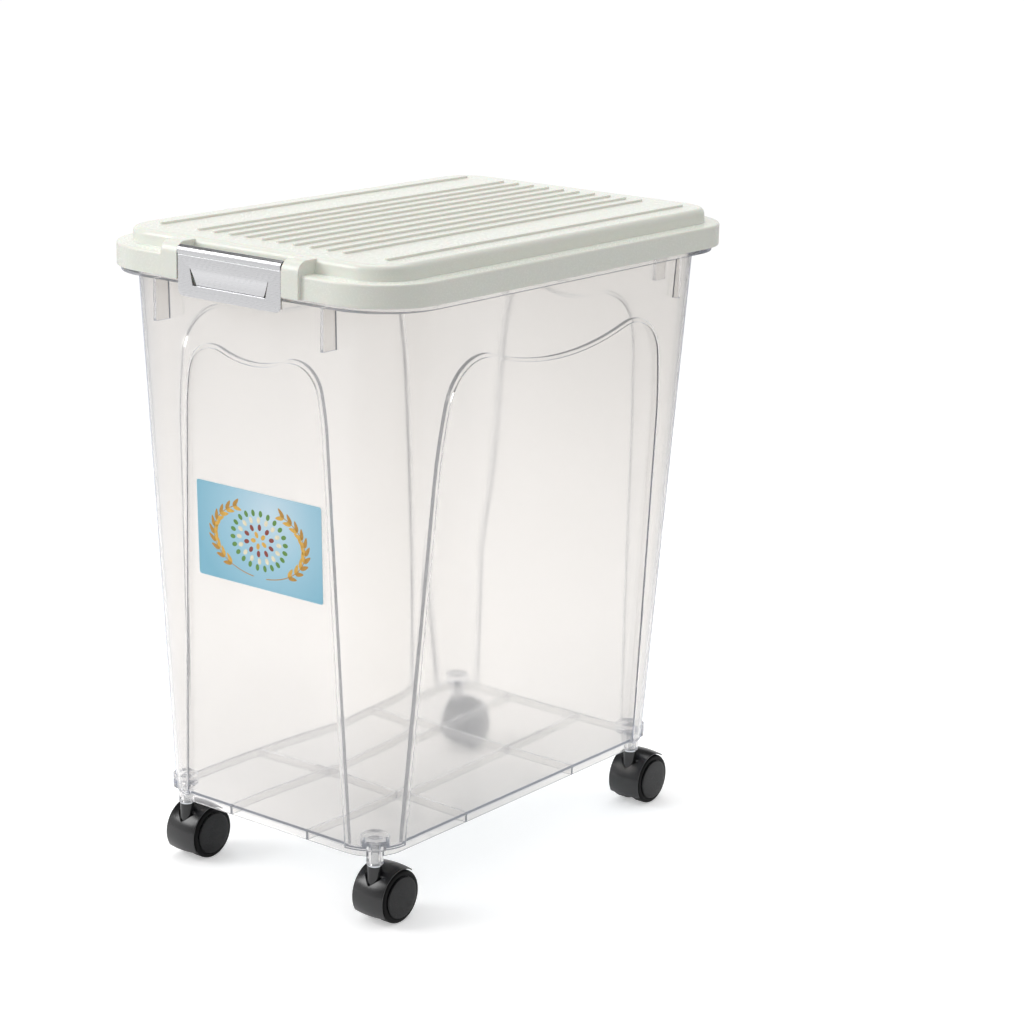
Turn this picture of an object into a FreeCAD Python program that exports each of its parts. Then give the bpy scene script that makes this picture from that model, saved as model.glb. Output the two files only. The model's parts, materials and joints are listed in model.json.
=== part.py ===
# Clear grain bin on four swivelling twin-wheel casters, with a hinged ivory lid and a steel-faced latch.
# Millimetres, +Z up, origin on the floor under the middle of the lid. The latch faces -Y.
import FreeCAD, Part
import math
import os
import Sketcher

# Driving sizes, one name each. Places and fits are worked out from these below.
SIZES = (
    # Lid
    ("lid_width", 295.0),
    ("lid_length", 444.0),
    ("lid_corner", 53.0),
    ("skirt_height", 17.0),
    ("skirt_wall", 2.5),
    ("skirt_edge", 2.0),
    ("skirt_lift", 0.6),
    ("skirt_gap", 0.7),
    ("ledge_width", 14.5),
    ("lid_plate", 3.0),
    ("step_height", 11.3),
    ("step_corner", 32.0),
    ("step_draft", 1.0),
    ("step_edge", 5.0),
    ("crown_margin", 10.0),
    ("rib_height", 1.6),
    ("rib_width", 4.6),
    ("rib_pitch", 15.8),
    ("rib_front_margin", 40.0),
    ("rib_back_margin", 38.0),
    ("border_offset", 39.5),
    # Seal between lid and rim
    ("seal_lap", 1.3),
    ("seal_seat", 1.2),
    ("seal_gap", 0.2),
    # Latch and its ears on the lid
    ("hardware_proud", 3.0),
    ("latch_bay", 102.0),
    ("latch_side_gap", 0.8),
    ("bay_depth", 6.0),
    ("bay_wall", 3.0),
    ("ear_width", 16.0),
    ("ear_round", 9.0),
    ("ear_drop", 1.2),
    ("pivot_rise", 4.4),
    ("curl_radius", 4.0),
    ("sheet_thick", 0.8),
    ("plate_drop", 33.0),
    ("plate_corner", 5.0),
    ("pull_top_width", 76.0),
    ("pull_foot_width", 66.0),
    ("pull_height", 12.5),
    ("pull_foot_rise", 8.6),
    ("pull_depth", 2.2),
    ("latch_pin_diameter", 3.2),
    ("latch_pin_reach", 8.0),
    ("core_inset", 3.0),
    ("core_thick", 4.6),
    ("pull_window_margin", 2.0),
    ("hook_reach", 5.2),
    ("hook_thick", 5.0),
    ("hook_gap", 0.6),
    ("hook_width", 60.0),
    # Rear hinge
    ("hinge_spread", 150.0),
    ("knuckle_radius", 4.5),
    ("lid_knuckle", 16.0),
    ("tub_knuckle", 10.0),
    ("knuckle_gap", 0.6),
    ("notch_gap", 0.9),
    ("lug_rise", 9.0),
    ("lug_root", 3.0),
    ("hinge_gap", 1.5),
    ("hinge_pin_diameter", 4.0),
    ("running_gap", 0.05),
    # Tub
    ("tub_shift", -6.0),
    ("tub_height", 429.5),
    ("tub_wall", 2.5),
    ("base_width", 226.0),
    ("base_length", 364.0),
    ("base_corner", 33.0),
    ("rim_width", 281.0),
    ("rim_length", 395.4),
    ("rim_corner", 46.0),
    ("flange_drop", 12.0),
    ("flange_thick", 3.5),
    ("flange_corner", 50.0),
    ("gusset_spread", 164.0),
    ("gusset_depth", 13.5),
    ("gusset_height", 32.0),
    ("gusset_thick", 3.0),
    ("side_gusset_offset", 144.0),
    ("side_gusset_depth", 3.4),
    ("floor_thick", 2.5),
    ("base_skirt_inset", 4.0),
    ("base_rib_drop", 6.0),
    ("base_rib_thick", 2.4),
    ("long_rib_spread", 79.0),
    ("cross_rib_spread", 138.0),
    ("boss_diameter", 21.5),
    ("boss_stand", 8.0),
    ("socket_diameter", 13.0),
    ("socket_drop", 13.0),
    ("stem_end_gap", 0.5),
    # Sunk panels in the tub walls, sizes along the wall
    ("panel_sink", 3.2),
    ("side_panel_foot", 296.0),
    ("side_panel_waist", 275.0),
    ("side_panel_crests", 186.6),
    ("side_panel_height", 369.5),
    ("side_shoulder_drop", 90.0),
    ("side_trough_drop", 14.3),
    ("front_panel_foot", 163.2),
    ("front_panel_waist", 134.6),
    ("front_panel_crests", 79.4),
    ("front_panel_height", 365.5),
    ("front_shoulder_drop", 52.0),
    ("front_trough_drop", 7.7),
    # Label on the front panel
    ("label_width", 125.0),
    ("label_height", 74.5),
    ("label_rise", 187.0),
    ("label_thick", 0.3),
    # Casters
    ("caster_spread_x", 196.0),
    ("caster_spread_y", 332.0),
    ("caster_trail", 14.0),
    ("wheel_diameter", 42.0),
    ("wheel_face", 16.5),
    ("wheel_edge", 2.5),
    ("wheel_ring_sink", 1.6),
    ("wheel_disc_diameter", 33.0),
    ("wheel_disc_edge", 1.4),
    ("wheel_web_gap", 0.6),
    ("wheel_hood_gap", 0.9),
    ("hood_wall", 2.1),
    ("hood_width", 29.5),
    ("hood_crown", 1.3),
    ("hood_web", 5.0),
    ("hood_notch_width", 20.0),
    ("hood_notch_depth", 8.5),
    ("hood_notch_round", 1.5),
    ("hub_diameter", 14.0),
    ("hood_boss_diameter", 11.0),
    ("hood_boss_rise", 2.5),
    ("axle_diameter", 4.0),
    ("axle_end_gap", 0.4),
    ("wheel_cap", 3.0),
    ("stem_diameter", 6.0),
    ("stem_seat", 6.4),
    ("stem_reach", 17.0),
    ("stem_chamfer", 0.8),
    ("stem_ring_drop", 4.0),
    ("stem_ring_width", 1.6),
    ("stem_ring_depth", 0.6),
    ("collar_diameter", 11.0),
    ("collar_thick", 1.2),
    ("swivel_gap", 0.3),
    # Length by which a cut runs past the face it starts from
    ("overrun", 2.0),
)

# Counts and angles
LID_RIB_COUNT = 10
HOOD_FRONT_ANGLE = 122
HOOD_BACK_ANGLE = 34

# Shares that shape the wave at the top of the wall panels: places along the shoulder and the wave,
# and the bulge of each arc as a share of its chord.
SIDE_SHOULDER_SHARES = (0.844, 0.658)
SIDE_WAVE_SHARES = (0.878, 0.125)
SIDE_BULGE_SHARES = (0.0196, 0.2235, 0.0764)
FRONT_SHOULDER_SHARES = (0.853, 0.629)
FRONT_WAVE_SHARES = (0.774, 0.232)
FRONT_BULGE_SHARES = (0.0195, 0.2335, 0.0962)
SAME_SHARE = 0.000001


class Size:
    """A number together with the sheet formula that gives it."""

    def __init__(self, value, formula):
        self.value = value
        self.formula = formula

    def joined(self, other, sign, value):
        return Size(value, "(" + self.formula + " " + sign + " " + as_size(other).formula + ")")

    def __add__(self, other):
        return self.joined(other, "+", self.value + as_size(other).value)

    def __sub__(self, other):
        return self.joined(other, "-", self.value - as_size(other).value)

    def __mul__(self, other):
        return self.joined(other, "*", self.value * as_size(other).value)

    def __truediv__(self, other):
        return self.joined(other, "/", self.value / as_size(other).value)

    def __neg__(self):
        return Size(-self.value, "(0 - " + self.formula + ")")


def as_size(number):
    if isinstance(number, Size):
        return number
    return Size(float(number), repr(number))


def root(size):
    return Size(math.sqrt(size.value), "sqrt(" + size.formula + ")")


def slope_angle(rise, run):
    share = rise / run
    return Size(math.degrees(math.atan(share.value)), "atan(" + share.formula + ")")


def sine(angle):
    return Size(math.sin(math.radians(angle.value)), "sin(" + angle.formula + ")")


def cosine(angle):
    return Size(math.cos(math.radians(angle.value)), "cos(" + angle.formula + ")")


doc = FreeCAD.newDocument("GrainBin")
sheet = doc.addObject("Spreadsheet::Sheet", "Sizes")
size = {}
for row, (name, value) in enumerate(SIZES, 1):
    sheet.set("A" + str(row), name)
    sheet.set("B" + str(row), repr(value))
    sheet.setAlias("B" + str(row), name)
    size[name] = Size(value, "Sizes." + name)
doc.recompute()

NOUGHT = as_size(0)
ORIGIN_POINT = (-1, 1)
UPRIGHT_AXIS = -2
LEVEL_AXIS = -1


def bind(thing, path, amount):
    """Set one property of an object from a Size and keep it bound to the sheet."""
    thing.setExpression(path, amount.formula)


def new_body(label):
    body = doc.addObject("PartDesign::Body", label)
    body.Label = label
    return body


def origin_feature(body, role):
    for feature in body.Origin.OriginFeatures:
        if feature.Role == role:
            return feature
    raise ValueError(role)


def place(body, x, y):
    body.Placement = FreeCAD.Placement(FreeCAD.Vector(x.value, y.value, 0), FreeCAD.Rotation())
    bind(body, "Placement.Base.x", x)
    bind(body, "Placement.Base.y", y)


def sketch_on(body, name, plane, offset=NOUGHT, across=NOUGHT, up=NOUGHT, tilt=None):
    """A sketch on an origin plane, moved along its normal, across it and up it, and tipped about its X."""
    sketch = body.newObject("Sketcher::SketchObject", name)
    sketch.AttachmentSupport = [(origin_feature(body, plane), "")]
    sketch.MapMode = "FlatFace"
    turn = FreeCAD.Rotation()
    if tilt:
        turn = FreeCAD.Rotation(FreeCAD.Vector(1, 0, 0), tilt.value)
    base = FreeCAD.Vector(across.value, up.value, offset.value)
    sketch.AttachmentOffset = FreeCAD.Placement(base, turn)
    for path, amount in (("x", across), ("y", up), ("z", offset)):
        if amount is not NOUGHT:
            bind(sketch, "AttachmentOffset.Base." + path, amount)
    if tilt:
        bind(sketch, "AttachmentOffset.Rotation.Angle", tilt)
    return sketch


def add_rules(sketch, rules):
    """Add constraints, each with the Size that drives it or None, and bind them to the sheet."""
    first = sketch.ConstraintCount
    sketch.addConstraint([rule for rule, amount in rules])
    for number, (rule, amount) in enumerate(rules, first):
        if amount is not None:
            bind(sketch, "Constraints[" + str(number) + "]", amount)


def point_rules(geometry, end, x, y):
    rules = []
    for kind, amount, axis in (("DistanceX", x, UPRIGHT_AXIS), ("DistanceY", y, LEVEL_AXIS)):
        if amount is NOUGHT:
            rules.append((Sketcher.Constraint("PointOnObject", geometry, end, axis), None))
        else:
            rule = Sketcher.Constraint(kind, ORIGIN_POINT[0], ORIGIN_POINT[1], geometry, end, amount.value)
            rules.append((rule, amount))
    return rules


def closed_path(sketch, points, arcs):
    """Draw a closed outline. arcs gives, by segment number, a radius and whether it turns left."""
    first = sketch.GeometryCount
    spots = [FreeCAD.Vector(x.value, y.value, 0) for x, y in points]
    shapes = []
    ends = []
    for number, start in enumerate(spots):
        finish = spots[(number + 1) % len(spots)]
        if number not in arcs:
            shapes.append(Part.LineSegment(start, finish))
            ends.append((1, 2))
            continue
        radius, left = arcs[number]
        chord = finish - start
        reach = math.sqrt(max(radius.value ** 2 - (chord.Length / 2) ** 2, 0))
        side = FreeCAD.Vector(-chord.y, chord.x, 0).normalize()
        centre = (start + finish) / 2 + side * (reach if left else -reach)
        turns = [math.atan2(spot.y - centre.y, spot.x - centre.x) for spot in (start, finish)]
        circle = Part.Circle(centre, FreeCAD.Vector(0, 0, 1), radius.value)
        if left:
            shapes.append(Part.ArcOfCircle(circle, turns[0], turns[1]))
            ends.append((1, 2))
        else:
            shapes.append(Part.ArcOfCircle(circle, turns[1], turns[0]))
            ends.append((2, 1))
    sketch.addGeometry(shapes, False)
    rules = []
    for number, (x, y) in enumerate(points):
        follower = (number + 1) % len(points)
        here = first + number
        rule = Sketcher.Constraint("Coincident", here, ends[number][1], first + follower, ends[follower][0])
        rules.append((rule, None))
        rules.extend(point_rules(here, ends[number][0], x, y))
        if number in arcs:
            radius = arcs[number][0]
            rules.append((Sketcher.Constraint("Radius", here, radius.value), radius))
    add_rules(sketch, rules)


def circle(sketch, x, y, diameter):
    number = sketch.GeometryCount
    centre = FreeCAD.Vector(x.value, y.value, 0)
    sketch.addGeometry([Part.Circle(centre, FreeCAD.Vector(0, 0, 1), diameter.value / 2)], False)
    rules = point_rules(number, 3, x, y)
    rules.append((Sketcher.Constraint("Diameter", number, diameter.value), diameter))
    add_rules(sketch, rules)


def rectangle(sketch, left, right, low, high):
    closed_path(sketch, [(left, low), (right, low), (right, high), (left, high)], {})


def rounded_rectangle(sketch, left, right, low, high, radius):
    points = [
        (left + radius, low), (right - radius, low),
        (right, low + radius), (right, high - radius),
        (right - radius, high), (left + radius, high),
        (left, high - radius), (left, low + radius),
    ]
    closed_path(sketch, points, {number: (radius, True) for number in (1, 3, 5, 7)})


def centred_rounded(sketch, half_x, half_y, radius, shift_y=None):
    if shift_y is None:
        rounded_rectangle(sketch, -half_x, half_x, -half_y, half_y, radius)
    else:
        rounded_rectangle(sketch, -half_x, half_x, shift_y - half_y, shift_y + half_y, radius)


def keep(body, feature):
    body.Tip = feature
    return feature


def extrude(body, kind, sketch, length, sides="One side", reverse=False, back_length=None):
    feature = body.newObject("PartDesign::" + kind, sketch.Name + "_" + kind.lower())
    feature.Profile = sketch
    feature.SideType = sides
    feature.Reversed = reverse
    feature.Length = length.value
    bind(feature, "Length", length)
    if back_length is not None:
        feature.Length2 = back_length.value
        bind(feature, "Length2", back_length)
    sketch.Visibility = False
    return keep(body, feature)


def pad(body, sketch, length, **how):
    return extrude(body, "Pad", sketch, length, **how)


def pocket(body, sketch, length, **how):
    return extrude(body, "Pocket", sketch, length, **how)


def loft(body, kind, low_sketch, high_sketch):
    feature = body.newObject("PartDesign::" + kind, low_sketch.Name + "_loft")
    feature.Profile = low_sketch
    feature.Sections = [high_sketch]
    feature.Ruled = True
    return keep(body, feature)


def revolve(body, sketch, axis, front_angle=360, back_angle=None):
    feature = body.newObject("PartDesign::Revolution", sketch.Name + "_turned")
    feature.Profile = sketch
    feature.ReferenceAxis = (sketch, [axis])
    feature.Angle = front_angle
    if back_angle is not None:
        feature.Type = "TwoAngles"
        feature.Angle2 = back_angle
    return keep(body, feature)


def mirror(body, name, originals, plane):
    feature = body.newObject("PartDesign::Mirrored", name)
    feature.Originals = originals
    feature.MirrorPlane = (origin_feature(body, plane), [""])
    return keep(body, feature)


def fillet_level(body, name, base, height, radius):
    """Round the edges of a feature that lie at one height."""
    doc.recompute()
    slack = SAME_SHARE * height.value
    edges = []
    for number, edge in enumerate(base.Shape.Edges, 1):
        box = edge.BoundBox
        if abs(box.ZMin - height.value) < slack and abs(box.ZMax - height.value) < slack:
            edges.append("Edge" + str(number))
    feature = body.newObject("PartDesign::Fillet", name)
    feature.Base = (base, edges)
    feature.Radius = radius.value
    bind(feature, "Radius", radius)
    return keep(body, feature)


# Heights, from the floor up
axle_z = size["wheel_diameter"] / 2
well_radius = size["wheel_diameter"] / 2 + size["wheel_hood_gap"]
hood_radius = well_radius + size["hood_wall"]
hood_top = axle_z + hood_radius + size["hood_boss_rise"]
socket_bottom = hood_top + size["collar_thick"] + size["swivel_gap"]
base_bottom = socket_bottom + size["socket_drop"]
floor_top = base_bottom + size["floor_thick"]
base_rib_foot = base_bottom - size["base_rib_drop"]
boss_top = floor_top + size["boss_stand"]
rim_top = base_bottom + size["tub_height"]
flange_top = rim_top - size["flange_drop"]
flange_bottom = flange_top - size["flange_thick"]
skirt_bottom = flange_top + size["skirt_lift"]
ledge_top = skirt_bottom + size["skirt_height"]
ledge_under = ledge_top - size["lid_plate"]
step_top = ledge_top + size["step_height"]

# Half sizes and places in plan
lid_x = size["lid_width"] / 2
lid_y = size["lid_length"] / 2
front_y = lid_y + size["hardware_proud"]
step_x = lid_x - size["ledge_width"]
step_y = lid_y - size["ledge_width"]
base_x = size["base_width"] / 2
base_y = size["base_length"] / 2
rim_x = size["rim_width"] / 2
rim_y = size["rim_length"] / 2
flange_x = lid_x - size["skirt_wall"] - size["skirt_gap"]
flange_front = lid_y - size["skirt_wall"] - size["skirt_gap"]
hinge_y = lid_y + size["hardware_proud"] - size["knuckle_radius"]
hinge_z = flange_bottom + size["flange_thick"] / 2
flange_back = hinge_y - size["knuckle_radius"] - size["hinge_gap"]
pivot_y = -(front_y - size["curl_radius"])
pivot_z = ledge_top + size["pivot_rise"]
caster_x = size["caster_spread_x"] / 2
caster_y = size["caster_spread_y"] / 2
side_tilt = slope_angle(rim_x - base_x, size["tub_height"])
front_tilt = slope_angle(rim_y - base_y, size["tub_height"])


def wall_half(base_half, rim_half, height):
    """Half size of the tub's outside at a height."""
    return base_half + (rim_half - base_half) * (height - base_bottom) / size["tub_height"]


def wall_sketch(body, name, plane, half, tilt, depth):
    """A sketch parallel to a tub wall, a depth in from its outside, with its origin at the wall's foot."""
    return sketch_on(
        body, name, plane,
        offset=half - depth * cosine(tilt),
        up=base_bottom + depth * sine(tilt),
        tilt=tilt,
    )


def bulge_radius(start, finish, share):
    """Radius of an arc between two points whose bulge is a share of its chord."""
    across = finish[0] - start[0]
    rise = finish[1] - start[1]
    chord = root(across * across + rise * rise)
    return chord * (0.25 + share * share) / (2 * share)


def wave_panel(sketch, kind, shares, spread, foot_level):
    """Outline of a wall panel: slanted sides, rounded shoulders and a wave between two crests."""
    shoulder_shares, wave_shares, bulge_shares = shares
    foot = size[kind + "_panel_foot"] / 2 + spread
    waist = size[kind + "_panel_waist"] / 2 + spread
    crest = size[kind + "_panel_crests"] / 2
    height = size[kind + "_panel_height"] + spread
    waist_level = height - size[kind + "_shoulder_drop"]
    shoulder_x = crest + (waist - crest) * shoulder_shares[0]
    shoulder_level = waist_level + size[kind + "_shoulder_drop"] * shoulder_shares[1]
    wave_x = crest * wave_shares[0]
    wave_level = height - size[kind + "_trough_drop"] * wave_shares[1]
    points = [
        (-foot, foot_level), (foot, foot_level),
        (waist, waist_level), (shoulder_x, shoulder_level), (wave_x, wave_level),
        (-wave_x, wave_level), (-shoulder_x, shoulder_level), (-waist, waist_level),
    ]
    shoulder_radius = bulge_radius(points[2], points[3], bulge_shares[0])
    crest_radius = bulge_radius(points[3], points[4], bulge_shares[1])
    trough_radius = bulge_radius(points[5], points[4], bulge_shares[2])
    arcs = {
        2: (shoulder_radius, True), 3: (crest_radius, True), 4: (trough_radius, False),
        5: (crest_radius, True), 6: (shoulder_radius, True),
    }
    closed_path(sketch, points, arcs)


def make_tub():
    """The clear tub: tapered walls with sunk panels, rim flange, ribbed base and caster sockets."""
    tub = new_body("bin_body")
    place(tub, NOUGHT, size["tub_shift"])

    foot = sketch_on(tub, "tub_foot", "XY_Plane", base_bottom)
    centred_rounded(foot, base_x, base_y, size["base_corner"])
    brim = sketch_on(tub, "tub_rim", "XY_Plane", rim_top)
    centred_rounded(brim, rim_x, rim_y, size["rim_corner"])
    loft(tub, "AdditiveLoft", foot, brim)

    flange = sketch_on(tub, "flange", "XY_Plane", flange_bottom)
    flange_low = -(flange_front + size["tub_shift"])
    flange_high = flange_back - size["tub_shift"]
    rounded_rectangle(flange, -flange_x, flange_x, flange_low, flange_high, size["flange_corner"])
    pad(tub, flange, size["flange_thick"])

    # Gussets under the flange: a pair on each short wall, one on each long wall near the back
    gusset_foot = flange_bottom - size["gusset_height"]
    gusset_root = wall_half(base_y, rim_y, gusset_foot) - size["tub_wall"]
    gusset_nose = wall_half(base_y, rim_y, flange_bottom) + size["gusset_depth"]
    gusset_head = flange_bottom + size["flange_thick"] / 2
    gusset = sketch_on(tub, "gusset", "YZ_Plane", size["gusset_spread"] / 2)
    rectangle(gusset, -gusset_nose, -gusset_root, gusset_foot, gusset_head)
    gusset_plate = pad(tub, gusset, size["gusset_thick"], sides="Symmetric")
    gusset_pair = mirror(tub, "gusset_left", [gusset_plate], "YZ_Plane")
    back_gusset = sketch_on(tub, "back_gusset", "YZ_Plane", size["gusset_spread"] / 2)
    rectangle(back_gusset, gusset_root, gusset_nose, gusset_foot, gusset_head)
    back_plate = pad(tub, back_gusset, size["gusset_thick"], sides="Symmetric")
    mirror(tub, "back_gusset_left", [back_plate], "YZ_Plane")
    side_root = wall_half(base_x, rim_x, gusset_foot) - size["tub_wall"]
    side_nose = wall_half(base_x, rim_x, flange_bottom) + size["side_gusset_depth"]
    side_gusset = sketch_on(tub, "side_gusset", "XZ_Plane", -size["side_gusset_offset"])
    rectangle(side_gusset, side_root, side_nose, gusset_foot, gusset_head)
    side_plate = pad(tub, side_gusset, size["gusset_thick"], sides="Symmetric")
    mirror(tub, "side_gusset_left", [side_plate], "YZ_Plane")

    # Skirt under the floor, crossed by two ribs each way
    rib_depth = size["base_rib_drop"] + size["floor_thick"] / 2
    skirt_x = base_x - size["base_skirt_inset"]
    skirt_y = base_y - size["base_skirt_inset"]
    skirt_corner = size["base_corner"] - size["base_skirt_inset"]
    thick = size["base_rib_thick"]
    base_skirt = sketch_on(tub, "base_skirt", "XY_Plane", base_rib_foot)
    centred_rounded(base_skirt, skirt_x, skirt_y, skirt_corner)
    centred_rounded(base_skirt, skirt_x - thick, skirt_y - thick, skirt_corner - thick)
    pad(tub, base_skirt, rib_depth)
    rib_half = thick / 2
    long_ribs = sketch_on(tub, "long_ribs", "XY_Plane", base_rib_foot)
    cross_ribs = sketch_on(tub, "cross_ribs", "XY_Plane", base_rib_foot)
    rib_y = skirt_y - rib_half
    rib_x = skirt_x - rib_half
    for middle in (-size["long_rib_spread"] / 2, size["long_rib_spread"] / 2):
        rectangle(long_ribs, middle - rib_half, middle + rib_half, -rib_y, rib_y)
    pad(tub, long_ribs, rib_depth)
    for middle in (-size["cross_rib_spread"] / 2, size["cross_rib_spread"] / 2):
        rectangle(cross_ribs, -rib_x, rib_x, middle - rib_half, middle + rib_half)
    pad(tub, cross_ribs, rib_depth)

    # Inside of the tub
    well_foot = sketch_on(tub, "well_foot", "XY_Plane", floor_top)
    well_x = wall_half(base_x, rim_x, floor_top) - size["tub_wall"]
    well_y = wall_half(base_y, rim_y, floor_top) - size["tub_wall"]
    centred_rounded(well_foot, well_x, well_y, size["base_corner"] - size["tub_wall"])
    well_head_z = rim_top + size["overrun"]
    well_head = sketch_on(tub, "well_head", "XY_Plane", well_head_z)
    head_x = wall_half(base_x, rim_x, well_head_z) - size["tub_wall"]
    head_y = wall_half(base_y, rim_y, well_head_z) - size["tub_wall"]
    centred_rounded(well_head, head_x, head_y, size["rim_corner"] - size["tub_wall"])
    loft(tub, "SubtractiveLoft", well_foot, well_head)

    # Sunk panels: a backing inside each wall, then the sink from outside
    sides = (
        ("side", "YZ_Plane", base_x, side_tilt, SIDE_SHOULDER_SHARES, SIDE_WAVE_SHARES, SIDE_BULGE_SHARES),
        (
            "front", "XZ_Plane", base_y, front_tilt,
            FRONT_SHOULDER_SHARES, FRONT_WAVE_SHARES, FRONT_BULGE_SHARES,
        ),
    )
    for kind, plane, half, tilt, *shares in sides:
        half_wall = size["tub_wall"] / 2
        backing = wall_sketch(tub, kind + "_backing", plane, half, tilt, half_wall)
        wave_panel(backing, kind, shares, size["tub_wall"], NOUGHT)
        back = pad(tub, backing, size["panel_sink"] + half_wall, reverse=True)
        mirror(tub, kind + "_backing_far", [back], plane)
    for kind, plane, half, tilt, *shares in sides:
        sink = wall_sketch(tub, kind + "_sink", plane, half, tilt, NOUGHT)
        wave_panel(sink, kind, shares, NOUGHT, -size["overrun"])
        cut = pocket(tub, sink, size["panel_sink"], sides="Two sides", back_length=size["overrun"])
        mirror(tub, kind + "_sink_far", [cut], plane)

    # Caster sockets at the corners: a boss through the floor, a neck below it and the stem's bore
    spots = [(side_x, side_y) for side_x in (-1, 1) for side_y in (-1, 1)]
    boss = sketch_on(tub, "socket_boss", "XY_Plane", base_bottom)
    neck = sketch_on(tub, "socket_neck", "XY_Plane", socket_bottom)
    bore = sketch_on(tub, "socket_bore", "XY_Plane", socket_bottom)
    bore_diameter = size["stem_diameter"] + size["running_gap"] * 2
    for side_x, side_y in spots:
        x = caster_x * side_x
        y = caster_y * side_y
        circle(boss, x, y, size["boss_diameter"])
        circle(neck, x, y, size["socket_diameter"])
        circle(bore, x, y, bore_diameter)
    pad(tub, boss, boss_top - base_bottom)
    pad(tub, neck, size["socket_drop"] + size["floor_thick"])
    bore_depth = size["stem_reach"] - size["swivel_gap"] + size["stem_end_gap"]
    pocket(tub, bore, bore_depth, reverse=True)

    # Hinge knuckles on the back of the flange
    root_y = flange_back - size["lug_root"] - size["tub_shift"]
    axis_y = hinge_y - size["tub_shift"]
    inner_x = size["hinge_spread"] / 2 - size["lid_knuckle"] / 2 - size["knuckle_gap"] - size["tub_knuckle"]
    outer_x = size["hinge_spread"] / 2 + size["lid_knuckle"] / 2 + size["knuckle_gap"]
    lugs = []
    for name, x in (("inner_lug", inner_x), ("outer_lug", outer_x)):
        lug = sketch_on(tub, name, "YZ_Plane", x)
        points = [
            (root_y, flange_bottom), (axis_y, hinge_z - size["knuckle_radius"]),
            (axis_y + size["knuckle_radius"], hinge_z), (axis_y, hinge_z + size["knuckle_radius"]),
            (root_y, flange_top),
        ]
        closed_path(lug, points, {1: (size["knuckle_radius"], True), 2: (size["knuckle_radius"], True)})
        circle(lug, axis_y, hinge_z, size["hinge_pin_diameter"])
        lugs.append(pad(tub, lug, size["tub_knuckle"]))
    mirror(tub, "lugs_left", lugs, "YZ_Plane")


def make_label():
    label = new_body("front_label")
    place(label, NOUGHT, size["tub_shift"])
    outline = wall_sketch(label, "label_outline", "XZ_Plane", base_y, front_tilt, size["panel_sink"])
    half = size["label_width"] / 2
    rectangle(outline, -half, half, size["label_rise"], size["label_rise"] + size["label_height"])
    pad(label, outline, size["label_thick"])


def make_hinge_pins():
    length = size["lid_knuckle"] + (size["tub_knuckle"] + size["knuckle_gap"]) * 2
    for tag, side in (("left", -1), ("right", 1)):
        pin = new_body("hinge_pin_" + tag)
        place(pin, size["hinge_spread"] / 2 * side, NOUGHT)
        outline = sketch_on(pin, "hinge_pin_outline_" + tag, "YZ_Plane")
        circle(outline, hinge_y, hinge_z, size["hinge_pin_diameter"])
        pad(pin, outline, length, sides="Symmetric")


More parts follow.
